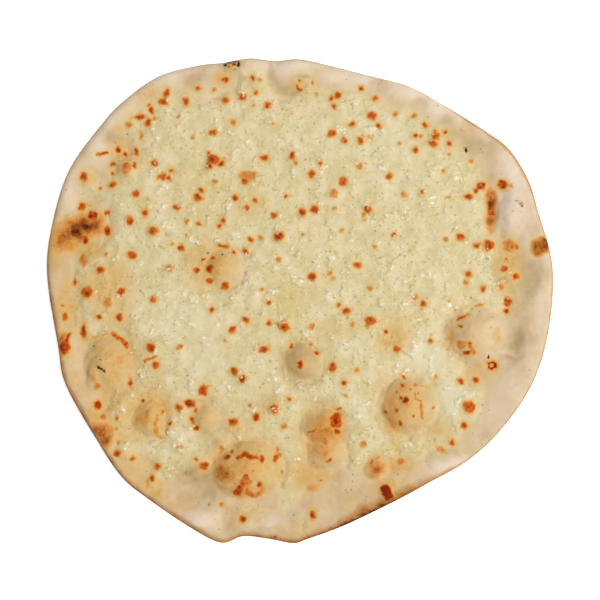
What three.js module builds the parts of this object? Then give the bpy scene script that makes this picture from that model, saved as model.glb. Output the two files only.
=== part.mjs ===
// White pizza: a flat round of baked dough with a low rim and blown bubbles, under melted cheese.
// Millimetres, +Z up. The origin is under the middle of the pizza, on the surface that it lies on.

import * as THREE from "three";

// Driving dimensions
const WIDTH = 320; // across the crust, left to right
const BASE_THICKNESS = 4.5; // dough under the cheese
const RIM_RISE = 5.5; // crest of the rim above that dough
const RIM_WIDTH = 25; // from the outer edge to the foot of the rim
const RIM_WIDTH_SWING = 6; // how much wider the rim is on its right-hand side
const EDGE_HEIGHT = 3; // level at which the crust reaches furthest out
const EDGE_ROLL = 6; // how far in the rounded upper edge runs
const FOOT_INSET = 4; // how far in the flat underside begins
const CHEESE_THICKNESS = 2.4; // melted cheese, away from its edge
const CHEESE_LIP = 0.8; // cheese at its edge
const CHEESE_TAPER = 5; // how far in the cheese gains most of its thickness
const CONTACT_GAP = 0.3; // clearance between the cheese and the dough under it
const CORNER_BLEND = 4; // rounding where the cheese edge meets a bubble

// Shapes of the rim and the bubbles
const RIM_SKEW = 0.65; // below 1 draws the rim's crest outwards
const RIM_WAVES = [{ share: 0.16, lobes: 3, phase: 1 }, { share: 0.1, lobes: 7, phase: 2 }];
const BUBBLE_FLARE = 1.3; // above 1 spreads the foot of a bubble
const BARE_SHARE = 0.86; // share of a bare bubble's half width that the cheese leaves free

// Fineness of the surfaces
const OUTLINE_STEP = 4; // between points round the crust
const CHEESE_EDGE_STEP = 3.5; // between points round the cheese
const BUBBLE_STEP = 3.5; // between points on bubbles, dents and blisters
const FIELD_STEP = 5.8; // between points elsewhere
const EDGE_JITTER = 0.1; // keeps edge points round a bubble off one exact circle
const SCATTER_DRAWS = 60000;

// Places on the plan are pixels of the photograph, x to the right and y down
const OUTLINE = [
  [250, 58.5], [275, 61.2], [300, 59.5], [335, 67], [372, 76.5], [408, 86], [440, 103],
  [485, 131], [510, 150.5], [529, 182], [539, 215], [549.5, 250], [553, 287], [546, 343],
  [530, 388], [500, 431], [467, 461], [430, 482], [395, 501], [345, 525], [307, 539],
  [293, 543], [268, 538.5], [243, 536], [221, 542.5], [190, 527], [150, 500], [122, 477],
  [97, 440], [66, 385], [58, 345], [47, 271], [54, 217], [70, 169], [99, 128], [124, 101],
  [160, 76], [200, 65.5], [224, 63],
];
const CHEESE_EDGE = [
  [180, 90], [206, 95], [231, 92], [241, 75], [263, 74], [272, 94], [293, 95], [300, 79],
  [313, 80], [323, 92], [350, 91], [377, 102], [418, 117], [446, 136], [470, 160], [485, 188],
  [487, 226], [502, 242], [517, 263], [512, 296], [503, 316], [478, 338], [464, 372], [480, 386],
  [481, 406], [466, 429], [440, 452], [405, 462], [377, 461], [352, 470], [334, 446], [315, 434],
  [301, 468], [288, 491], [268, 480], [244, 464], [216, 462], [199, 471], [170, 479], [150, 484],
  [148, 466], [137, 459], [127, 464], [116, 452], [113, 432], [103, 416], [109, 400], [118, 370],
  [104, 348], [84, 338], [76, 318], [72, 290], [80, 258], [100, 246], [111, 222], [101, 203],
  [83, 194], [87, 174], [107, 187], [117, 164], [131, 150], [124, 126], [145, 108], [163, 92],
];

// Bubbles: centre and half widths on the plan, rise in millimetres; bare ones break the cheese
const BUBBLES = [
  { at: [248, 468], half: [37, 31], rise: 10.5, bare: true },
  { at: [408, 405], half: [29, 32], rise: 9.5, bare: true },
  { at: [475, 335], half: [33, 32], rise: 9, bare: true },
  { at: [322, 425], half: [22, 19], rise: 6.5, bare: true },
  { at: [326, 451], half: [20, 19], rise: 5.5, bare: true },
  { at: [303, 362], half: [20, 21], rise: 6, bare: true },
  { at: [223, 268], half: [22, 22], rise: 5, bare: true },
  { at: [110, 363], half: [28, 31], rise: 7, bare: true },
  { at: [150, 419], half: [19, 20], rise: 5.5, bare: true },
  { at: [207, 418], half: [16, 16], rise: 4, bare: true },
  { at: [83, 226], half: [25, 17], rise: 4 },
  { at: [125, 167], half: [14, 13], rise: 2.5 },
  { at: [90, 181], half: [10, 10], rise: 2 },
  { at: [250, 70], half: [18, 13], rise: 1.5 },
  { at: [289, 74], half: [21, 15], rise: 2.5 },
  { at: [510, 214], half: [15, 29], rise: 3.5 },
  { at: [539, 248], half: [9, 9], rise: 2 },
  { at: [205, 515], half: [25, 13], rise: 2.5 },
  { at: [345, 492], half: [36, 20], rise: 2 },
  { at: [376, 467], half: [13, 12], rise: 3 },
  { at: [445, 460], half: [22, 13], rise: 2 },
  { at: [66, 346], half: [9, 10], rise: 2 },
  { at: [234, 67], half: [9, 8], rise: 1.6 },
  { at: [386, 491], half: [9, 11], rise: 1.6 },
];
const DENTS = [
  { at: [196, 486], half: [24, 17], rise: -2.2 },
  { at: [514, 344], half: [14, 17], rise: -3 },
  { at: [527, 278], half: [15, 25], rise: -1.6 },
  { at: [459, 141], half: [24, 22], rise: -1.4 },
  { at: [491, 214], half: [7, 26], rise: -1.8 },
];
// Browned blisters that stand out of the cheese
const BLISTERS = [
  [213, 161], [434, 140], [467, 406], [89, 292], [371, 320], [279, 237], [488, 245], [274, 409],
  [336, 420], [152, 347], [154, 232], [333, 194], [284, 326], [243, 377],
].map((at) => ({ at, half: [9, 9], rise: 1.3 }));

// The plan's pixels become millimetres about the middle of the crust
const planCurve = (points) => {
  const corners = points.map(([x, y]) => new THREE.Vector3(x, -y, 0));
  const curve = new THREE.CatmullRomCurve3(corners, true, "catmullrom", 0.5);
  curve.arcLengthDivisions = 100 * points.length;
  return curve;
};
const planBox = new THREE.Box3().setFromPoints(planCurve(OUTLINE).getSpacedPoints(2000));
const planMiddle = planBox.getCenter(new THREE.Vector3());
const MM_PER_PIXEL = WIDTH / planBox.getSize(new THREE.Vector3()).x;

const onPlan = (x, y) =>
  new THREE.Vector2(x - planMiddle.x, -y - planMiddle.y).multiplyScalar(MM_PER_PIXEL);

// A smooth closed line through plan points, evenly stepped and counter-clockwise
function closedLine(points, step) {
  const curve = planCurve(points);
  const count = Math.round((curve.getLength() * MM_PER_PIXEL) / step);
  const line = curve.getSpacedPoints(count).slice(0, count).map(({ x, y }) => onPlan(x, -y));
  return THREE.ShapeUtils.isClockWise(line) ? line.reverse() : line;
}

// A dome in millimetres, with its place on the plan worked out
const placed = ({ at, half, rise, bare = false }) => ({
  centre: onPlan(...at),
  half: new THREE.Vector2(...half).multiplyScalar(MM_PER_PIXEL),
  rise,
  bare,
});

const outline = closedLine(OUTLINE, OUTLINE_STEP);
const cheeseEdge = closedLine(CHEESE_EDGE, CHEESE_EDGE_STEP / 4);
const bubbles = BUBBLES.map(placed);
const bareBubbles = bubbles.filter((bubble) => bubble.bare);
const doughRelief = [...bubbles, ...DENTS.map(placed)];
const blisters = BLISTERS.map(placed);

// How far a point is inside a closed line; negative outside
function insideBy(point, line) {
  let nearest = Infinity;
  let inside = false;
  let from = line[line.length - 1];
  for (const to of line) {
    const along = new THREE.Vector2().subVectors(to, from);
    const reach = new THREE.Vector2().subVectors(point, from);
    const share = THREE.MathUtils.clamp(reach.dot(along) / along.lengthSq(), 0, 1);
    nearest = Math.min(nearest, reach.addScaledVector(along, -share).length());
    const crosses = from.y > point.y !== to.y > point.y;
    const crossing = from.x + ((point.y - from.y) / (to.y - from.y)) * along.x;
    if (crosses && point.x < crossing) inside = !inside;
    from = to;
  }
  return inside ? nearest : -nearest;
}

// Distance from a dome's middle in shares of its half widths: 0 in the middle, 1 at its foot
const domeShare = (point, { centre, half }) =>
  Math.hypot((point.x - centre.x) / half.x, (point.y - centre.y) / half.y);

const domeHeight = (point, dome) =>
  dome.rise * Math.max(0, 1 - domeShare(point, dome) ** 2) ** BUBBLE_FLARE;

const reliefAt = (point, domes) => domes.reduce((sum, dome) => sum + domeHeight(point, dome), 0);

// The lesser of two distances, rounded where they are alike
function roundedMin(a, b, blend) {
  const overlap = Math.max(blend - Math.abs(a - b), 0) / blend;
  return Math.min(a, b) - (overlap * overlap * blend) / 4;
}

// Rim of the crust: steep outside, gentle inside, wider on the right
function rimHeight(point, fromEdge) {
  const angle = Math.atan2(point.y, point.x);
  const width = RIM_WIDTH + RIM_WIDTH_SWING * Math.cos(angle);
  const across = Math.min(fromEdge / width, 1);
  const unevenness = RIM_WAVES.reduce(
    (sum, { share, lobes, phase }) => sum + share * Math.sin(lobes * angle + phase),
    1,
  );
  return RIM_RISE * unevenness * Math.sin(Math.PI * across ** RIM_SKEW);
}

// Upper face of the dough
function doughTop(point) {
  const fromEdge = Math.max(0, insideBy(point, outline));
  const body = BASE_THICKNESS + rimHeight(point, fromEdge) + reliefAt(point, doughRelief);
  const rollShare = Math.min(fromEdge / EDGE_ROLL, 1);
  return EDGE_HEIGHT + (body - EDGE_HEIGHT) * Math.sqrt(1 - (1 - rollShare) ** 2);
}

// How far a point is inside the cheese; negative where dough shows
function cheeseCover(point) {
  return bareBubbles.reduce((cover, bubble) => {
    const narrow = Math.min(bubble.half.x, bubble.half.y);
    const clear = (domeShare(point, bubble) - BARE_SHARE) * narrow;
    return roundedMin(cover, clear, CORNER_BLEND);
  }, insideBy(point, cheeseEdge));
}

const cheeseDepth = (point) => {
  const inward = Math.max(0, cheeseCover(point));
  const gain = 1 - Math.exp(-inward / CHEESE_TAPER);
  return CHEESE_LIP + gain * (CHEESE_THICKNESS - CHEESE_LIP + reliefAt(point, blisters));
};

const keepsClear = (point, others, step) =>
  others.every((other) => other.distanceToSquared(point) >= step * step);

// Repeatable random numbers from 0 to 1
function randomSource(seed) {
  let state = seed;
  return () => {
    state = (Math.imul(state, 1664525) + 1013904223) >>> 0;
    return state / 2 ** 32;
  };
}

// Points spaced along the cheese's edge, moved onto it down the slope of its cover
function cheeseEdgePoints() {
  const rings = bareBubbles.map(({ centre, half }) =>
    new THREE.EllipseCurve(centre.x, centre.y, half.x, half.y).getPoints(200));
  const slopeStep = 0.05;
  const across = new THREE.Vector2(slopeStep, 0);
  const up = new THREE.Vector2(0, slopeStep);
  const random = randomSource(3);
  const found = [];
  for (const start of [cheeseEdge, ...rings].flat()) {
    const point = start.clone();
    for (let move = 0; move < 6; move += 1) {
      const cover = cheeseCover(point);
      const slope = new THREE.Vector2(
        cheeseCover(point.clone().add(across)) - cover,
        cheeseCover(point.clone().add(up)) - cover,
      ).divideScalar(slopeStep);
      point.addScaledVector(slope, -cover / Math.max(slope.lengthSq(), 0.1));
    }
    const onEdge = Math.abs(cheeseCover(point)) < 0.05;
    point.x += EDGE_JITTER * random();
    if (onEdge && keepsClear(point, found, CHEESE_EDGE_STEP)) found.push(point);
  }
  return found;
}

// Points scattered over the crust, closer together on bubbles and blisters
function scatterPoints(border, fixed) {
  const random = randomSource(7);
  const reach = WIDTH / 2;
  const found = [...fixed];
  const fine = [...doughRelief, ...blisters];
  for (let draw = 0; draw < SCATTER_DRAWS; draw += 1) {
    const point = new THREE.Vector2(2 * random() - 1, 2 * random() - 1).multiplyScalar(reach);
    const step = fine.some((dome) => domeShare(point, dome) < 1) ? BUBBLE_STEP : FIELD_STEP;
    const inBorder = insideBy(point, border) > BUBBLE_STEP / 2;
    if (inBorder && keepsClear(point, found, step)) found.push(point);
  }
  return found;
}

// Delaunay triangles over points, counter-clockwise
function triangulate(points) {
  const far = 20 * WIDTH;
  const all = [...points, new THREE.Vector2(-far, -far), new THREE.Vector2(far, -far),
    new THREE.Vector2(0, far)];
  const withCircle = (corners) => {
    const [a, b, c] = corners.map((index) => all[index]);
    const ab = b.clone().sub(a);
    const ac = c.clone().sub(a);
    const twiceCross = 2 * ab.cross(ac);
    const fromA = new THREE.Vector2(
      (ac.y * ab.lengthSq() - ab.y * ac.lengthSq()) / twiceCross,
      (ab.x * ac.lengthSq() - ac.x * ab.lengthSq()) / twiceCross,
    );
    return { corners, centre: fromA.clone().add(a), radiusSq: fromA.lengthSq() };
  };
  const count = points.length;
  let triangles = [withCircle([count, count + 1, count + 2])];
  points.forEach((point, index) => {
    const kept = [];
    const openEdges = new Map();
    for (const triangle of triangles) {
      if (triangle.centre.distanceToSquared(point) >= triangle.radiusSq) {
        kept.push(triangle);
        continue;
      }
      triangle.corners.forEach((from, side) => {
        const to = triangle.corners[(side + 1) % 3];
        if (!openEdges.delete(`${to} ${from}`)) openEdges.set(`${from} ${to}`, [from, to]);
      });
    }
    const fan = [...openEdges.values()].map(([from, to]) => withCircle([from, to, index]));
    triangles = [...kept, ...fan];
  });
  return triangles.map(({ corners }) => corners).filter((corners) => Math.max(...corners) < count);
}

// Edges that only one of the triangles has, in that triangle's direction
function borderEdges(triangles) {
  const edges = new Map();
  for (const corners of triangles) {
    corners.forEach((from, side) => {
      const to = corners[(side + 1) % 3];
      if (!edges.delete(`${to} ${from}`)) edges.set(`${from} ${to}`, [from, to]);
    });
  }
  return [...edges.values()];
}

// Triangles left when those at a pinched corner are dropped, so that the sheet's edge is clean
function withoutPinches(triangles) {
  const starts = borderEdges(triangles).map(([from]) => from);
  const pinched = new Set(starts.filter((corner, place) => starts.indexOf(corner) !== place));
  if (pinched.size === 0) return triangles;
  return withoutPinches(triangles.filter((corners) => !corners.some((corner) => pinched.has(corner))));
}

const middleOf = (corners, points) =>
  corners.reduce((sum, index) => sum.add(points[index]), new THREE.Vector2()).divideScalar(3);

// The outline moved inwards along its normals
const insetOutline = (inset) => outline.map((point, place) => {
  const next = outline[(place + 1) % outline.length];
  const last = outline[(place + outline.length - 1) % outline.length];
  const along = next.clone().sub(last).normalize();
  return new THREE.Vector2(-along.y, along.x).multiplyScalar(inset).add(point);
});

// Collects the corners and triangles of one closed body
class Body {
  positions = [];

  triangles = [];

  corner({ x, y }, z) {
    this.positions.push(x, y, z);
    return this.positions.length / 3 - 1;
  }

  band(lower, upper) {
    lower.forEach((here, place) => {
      const next = (place + 1) % lower.length;
      this.triangles.push([here, lower[next], upper[next]], [here, upper[next], upper[place]]);
    });
  }

  geometry() {
    const geometry = new THREE.BufferGeometry();
    geometry.setAttribute("position", new THREE.Float32BufferAttribute(this.positions, 3));
    geometry.setIndex(this.triangles.flat());
    geometry.computeVertexNormals();
    return geometry;
  }
}

// Rounded edge of the crust, as rings from the flat foot up to the start of the upper face
const degrees = THREE.MathUtils.degToRad;
const underRing = (turn) => ({
  line: insetOutline(FOOT_INSET * (1 - Math.cos(degrees(turn)))),
  height: () => EDGE_HEIGHT * (1 - Math.sin(degrees(turn))),
});
const upperRing = (turn) => ({
  line: insetOutline(EDGE_ROLL * (1 - Math.cos(degrees(turn)))),
  height: doughTop,
});
const edgeRings = [underRing(90), underRing(45), underRing(0), upperRing(30), upperRing(60)];
const topBorder = edgeRings[edgeRings.length - 1].line;

// One net of points serves the dough's upper face and both faces of the cheese
const netPoints = scatterPoints(topBorder, [...topBorder, ...cheeseEdgePoints()]);
const netTriangles = triangulate(netPoints)
  .filter((corners) => insideBy(middleOf(corners, netPoints), topBorder) > 0);
const doughHeights = netPoints.map(doughTop);

function crustGeometry() {
  const body = new Body();
  const net = netPoints.map((point, index) => body.corner(point, doughHeights[index]));
  const rings = edgeRings.slice(0, -1)
    .map(({ line, height }) => line.map((point) => body.corner(point, height(point))));
  rings.push(net.slice(0, topBorder.length));
  rings.slice(1).forEach((ring, place) => body.band(rings[place], ring));
  body.triangles.push(...netTriangles);
  const foot = THREE.ShapeUtils.triangulateShape(edgeRings[0].line, []);
  body.triangles.push(...foot.map(([a, b, c]) => [rings[0][a], rings[0][c], rings[0][b]]));
  return body.geometry();
}

function cheeseGeometry() {
  const covered = withoutPinches(netTriangles
    .filter((corners) => cheeseCover(middleOf(corners, netPoints)) > 0));
  const body = new Body();
  const under = new Map();
  const over = new Map();
  for (const index of new Set(covered.flat())) {
    const floor = doughHeights[index] + CONTACT_GAP;
    under.set(index, body.corner(netPoints[index], floor));
    over.set(index, body.corner(netPoints[index], floor + cheeseDepth(netPoints[index])));
  }
  for (const [a, b, c] of covered) {
    body.triangles.push([over.get(a), over.get(b), over.get(c)]);
    body.triangles.push([under.get(a), under.get(c), under.get(b)]);
  }
  for (const [from, to] of borderEdges(covered)) {
    body.triangles.push([under.get(from), under.get(to), over.get(to)]);
    body.triangles.push([under.get(from), over.get(to), over.get(from)]);
  }
  return body.geometry();
}

function part(name, geometry, color, roughness) {
  const mesh = new THREE.Mesh(geometry, new THREE.MeshStandardMaterial({ color, roughness }));
  mesh.name = name;
  return mesh;
}

const pizza = new THREE.Group();
pizza.add(part("crust", crustGeometry(), 0xe3c9a2, 0.8));
pizza.add(part("cheese", cheeseGeometry(), 0xd9ca9c, 0.4));

export default pizza;
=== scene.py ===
# White pizza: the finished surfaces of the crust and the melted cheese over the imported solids.
# Shapes are worked out in millimetres, close to the solids, and scaled to metres at the end.
import math

import bpy
import numpy as np
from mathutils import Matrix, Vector
from mathutils.geometry import delaunay_2d_cdt


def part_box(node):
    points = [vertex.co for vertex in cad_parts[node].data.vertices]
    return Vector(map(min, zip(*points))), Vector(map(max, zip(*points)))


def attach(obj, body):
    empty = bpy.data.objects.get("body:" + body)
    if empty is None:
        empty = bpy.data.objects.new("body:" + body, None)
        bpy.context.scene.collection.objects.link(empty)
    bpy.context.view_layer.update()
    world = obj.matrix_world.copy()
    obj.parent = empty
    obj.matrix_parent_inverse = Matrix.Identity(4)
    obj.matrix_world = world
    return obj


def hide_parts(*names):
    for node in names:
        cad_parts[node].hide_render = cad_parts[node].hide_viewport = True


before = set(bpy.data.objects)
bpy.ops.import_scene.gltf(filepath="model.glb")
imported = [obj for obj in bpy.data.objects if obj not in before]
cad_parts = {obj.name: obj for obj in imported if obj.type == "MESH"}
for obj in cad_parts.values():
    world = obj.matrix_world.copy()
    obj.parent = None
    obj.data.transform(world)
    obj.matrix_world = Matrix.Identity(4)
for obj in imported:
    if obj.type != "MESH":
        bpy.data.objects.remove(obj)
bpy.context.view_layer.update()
crust_low, crust_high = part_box("crust")

MM = 0.001

# Sizes in millimetres: the solids' own, apart from a flatter rim and slightly thicker cheese
WIDTH = (crust_high.x - crust_low.x) / MM
BASE_THICKNESS = 4.5
RIM_RISE = 4.4
RIM_WIDTH = 25
RIM_WIDTH_SWING = 6
RIM_FLAT = 0.2  # share of the width that stays at the full rise
RIM_WAVES = [(0.16, 3, 1), (0.1, 7, 2)]  # share of the rise, lobes, phase
EDGE_HEIGHT = 3
EDGE_ROLL = 4.5
FOOT_INSET = 4
CHEESE_THICKNESS = 2.6
CHEESE_TAPER = 5
CHEESE_TAPER_POWER = 1.3
CHEESE_SKIRT = 1.6  # how far the cheese's edge runs on inside the dough
SKIRT_SLOPE = 0.5
CHEESE_LIP = 1.5  # of the cheese's underside below the dough's upper face
CORNER_BLEND = 4  # rounding where the cheese's edge meets a bubble
BUBBLE_FLARE = 1.3  # above 1 spreads the foot of a bubble
BARE_SHARE = 0.86  # of a bare bubble's half width, free of cheese
SPOT_RISE = 0.8  # of a baked spot out of the cheese

# Unevenness from noise: height and size of its bumps in mm, seed
DOUGH_RELIEF = [(0.5, 22, 21), (0.35, 9, 22), (0.12, 4, 23)]
CHEESE_RELIEF = [(0.35, 16, 41), (0.4, 7, 42), (0.13, 3, 43)]
COVER_WAVES = [(2.2, 9, 31), (0.8, 3.5, 32)]
# The same for the edge's brown and painted shade, with a share instead of a height
EDGE_WAVES = [(0.3, 8, 91)]
EDGE_LINE_WAVES = [(0.5, 11, 93)]

# How noise pushes places about: reach and size of its bumps in mm, seed
BUBBLE_WARP = [(2, 14, 11), (0.7, 5, 13)]
MARK_WARP = [(0.6, 2.4, 51), (0.9, 6, 53)]
CHAR_AND_SHADE_WARP = [(0.5, 3, 71)]
WET_WARP = [(1, 4, 73)]
PATCH_WARP = [(1.6, 9, 81), (0.7, 3.5, 83)]
NOISE_CELLS = 512
NOISE_GAIN = 1.5
NOISE_TURN = np.array([(0.8, 0.6), (-0.6, 0.8)])  # keeps the noise's cells off the axes

# Fineness of the surfaces, in millimetres
CRUST_STEP = 0.45
CHEESE_STEP = 0.6
HIDDEN_STEPS = 8  # steps between points where nothing shows
LONGEST_STEPS = 5  # steps along the longest side of a triangle of cheese
LATTICE_JITTER = 0.12  # share of the step
LATTICE_SEED = 61
FOOT_TURNS = range(90, -1, -18)  # rings of the edge, in degrees below its widest line
ROLL_TURNS = range(12, 61, 12)  # rings of the edge, in degrees above it
OUTLINE_STEPS = 8  # from each point of an outline to the next
CHEESE_EDGE_STEPS = 6
SIZE_STEPS = 50  # where the width is measured
SHOWN_COVER = 2.5  # dough is fine until this far under the cheese
FINE_TONE = 0.25  # marks browner than this get the finest points
EDGE_ROUNDS = 3  # of moving points onto the cheese's edge
SLOPE_STEP = 0.05
LEAST_SLOPE = 0.3
LEVEL_SLACK = 0.01  # in comparing heights
SLIVER = 0.02  # triangles this near to a border line have no area of their own
CLOSEST = 0.12  # points nearer to each other than this become one
GRID_STEP = 1  # between the places where distances from the outlines are worked out
GRID_MARGIN = 10
POINTS_AT_ONCE = 4000

# Places on the plan are pixels of the photograph, x to the right and y down
PHOTO_PIXELS = 600
PHOTO_MIDDLE = (300, 300)
OUTLINE = [
    (250, 58.5), (275, 61.2), (300, 59.5), (335, 67), (372, 76.5), (408, 86), (440, 103), (485, 131),
    (510, 150.5), (529, 182), (539, 215), (549.5, 250), (553, 287), (546, 343), (530, 388), (500, 431),
    (467, 461), (430, 482), (395, 501), (345, 525), (307, 539), (293, 543), (268, 538.5), (243, 536),
    (221, 542.5), (190, 527), (150, 500), (122, 477), (97, 440), (66, 385), (58, 345), (47, 271),
    (54, 217), (70, 169), (99, 128), (124, 101), (160, 76), (200, 65.5), (224, 63),
]
CHEESE_EDGE = [
    (180, 90), (206, 95), (231, 92), (241, 75), (263, 74), (272, 94), (293, 95), (300, 79), (313, 80),
    (323, 92), (350, 91), (377, 102), (418, 117), (446, 136), (470, 160), (485, 188), (487, 226),
    (502, 242), (517, 263), (512, 296), (503, 316), (478, 338), (464, 372), (480, 386), (481, 406),
    (466, 429), (440, 452), (405, 462), (377, 461), (352, 470), (334, 446), (315, 434), (301, 468),
    (288, 491), (268, 480), (244, 464), (216, 462), (199, 471), (170, 479), (150, 484), (148, 466),
    (137, 459), (127, 464), (116, 452), (113, 432), (103, 416), (109, 400), (118, 370), (104, 348),
    (84, 338), (76, 318), (72, 290), (80, 258), (100, 246), (111, 222), (101, 203), (83, 194), (87, 174),
    (107, 187), (117, 164), (131, 150), (124, 126), (145, 108), (163, 92),
]

# Bubbles and dents in the dough: place and half widths on the plan, rise in millimetres
BARE_BUBBLES = [
    (248, 468, 37, 31, 10.5), (408, 405, 29, 32, 9.5), (475, 335, 33, 32, 9), (322, 425, 22, 19, 6.5),
    (326, 451, 20, 19, 5.5), (303, 362, 20, 21, 6), (223, 268, 22, 22, 5), (110, 363, 28, 31, 7),
    (150, 419, 19, 20, 5.5), (207, 418, 16, 16, 4),
]
RIM_BUBBLES = [
    (83, 226, 25, 17, 4), (125, 167, 14, 13, 2.5), (90, 181, 10, 10, 2), (250, 70, 18, 13, 1.5),
    (289, 74, 21, 17, 3.5), (510, 214, 15, 29, 3.5), (539, 248, 9, 9, 2), (205, 515, 25, 13, 2.5),
    (345, 492, 36, 20, 2), (376, 467, 13, 12, 3), (445, 460, 22, 13, 2), (66, 346, 9, 10, 2),
    (232, 67, 9, 8, 1.8), (386, 491, 9, 11, 1.6), (95, 378, 8, 15, 2),
]
DENTS = [
    (196, 486, 24, 17, -2.2), (514, 343, 12, 17, -2.2), (527, 278, 15, 25, -1.6),
    (459, 141, 24, 22, -1.4), (491, 214, 7, 26, -2.4), (191, 82, 12, 10, -1), (115, 139, 11, 10, -0.9),
    (376, 89, 12, 10, -0.9), (417, 108, 13, 10, -1), (302, 80, 6, 12, -0.9), (507, 357, 17, 5, -0.9),
    (220, 505, 7, 18, -0.7), (262, 525, 34, 4, -0.7), (303, 522, 5, 14, -0.6), (206, 440, 12, 12, -0.6),
]
BLISTERS = [
    (x, y, 9, 9, 1.3) for x, y in [
        (213, 161), (434, 140), (467, 406), (89, 292), (371, 320), (279, 237), (488, 245),
        (274, 409), (336, 420), (152, 347), (154, 232), (333, 194), (284, 326), (243, 377),
    ]
]

# Baked spots: place on the plan and radius, or half widths where a spot is long
PALE_SPOTS = [
    (156, 119, 3), (130.5, 125, 5, 3.5), (142, 136, 2.5, 6), (127, 168, 6.5), (100.5, 189, 2.8),
    (216, 183, 3), (193, 138, 2.5), (179, 118, 2.5), (260.5, 81.5, 2.5), (254, 106, 2), (233, 123, 3.5),
    (274, 124, 2.5), (296, 164, 3.3), (359, 167, 4), (254, 174.5, 3), (247, 176, 9, 6), (335, 209, 2.5),
    (364, 215.5, 3), (395, 114.5, 3.3), (413.5, 116, 3.3), (420, 138, 2.5), (399.5, 144.5, 2.2),
    (448.5, 155, 2.8), (470, 162, 3), (443, 172, 2.5), (403.5, 195.5, 3.5), (447.5, 197.5, 4, 1.8),
    (445, 239.5, 3), (500, 287, 4.2), (506, 260.5, 2.8), (465.5, 283, 3.2), (414.5, 297, 3.2),
    (448.5, 302, 2), (460, 344, 6.5, 4.5), (439.5, 448.5, 4.2), (401, 460.5, 5.5, 3.5), (435, 377, 2.3),
    (509, 246, 7.5), (107, 255, 2.3), (172.5, 245, 2.8), (187, 222.5, 3), (187, 236, 2), (170, 268, 4.2),
    (108.5, 302.5, 5.5), (62.5, 306, 2.8), (179.5, 347, 3.4), (98, 387, 4.5), (104, 416.5, 4),
    (116.5, 428, 3), (180, 446, 3.3), (119.5, 441.5, 2.5), (261, 238, 3.2), (304, 236, 2.5),
    (341.5, 230.5, 2.8), (279, 260, 3.2), (374, 247, 2.8), (330, 272.5, 2.6), (333, 279, 2.4),
    (369.5, 288, 3), (262, 290, 2.4), (225.5, 340.5, 2.5), (311.5, 326.5, 3.5, 5), (352.5, 325, 3),
    (357, 370.5, 2.8), (250.5, 404.5, 2.6), (284.5, 426, 3.6), (345, 395, 2.6), (363, 443.5, 3.8),
    (221.5, 448, 3.5), (281, 471, 2.2), (325.5, 439.5, 4.5), (414.5, 384.5, 2.6), (422, 386, 1.7),
    (426, 387, 1.8), (221.5, 504, 2.8), (84, 260, 5.5, 6.5), (433.5, 406, 2.2), (310, 344, 3),
    (327, 460, 3), (283.5, 321, 4, 2), (333.5, 193.5, 5), (214.8, 90.4, 2.9), (492, 197, 3.6),
    (313, 84, 2.2, 3.4), (317, 93.8, 2.4),
]
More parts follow.
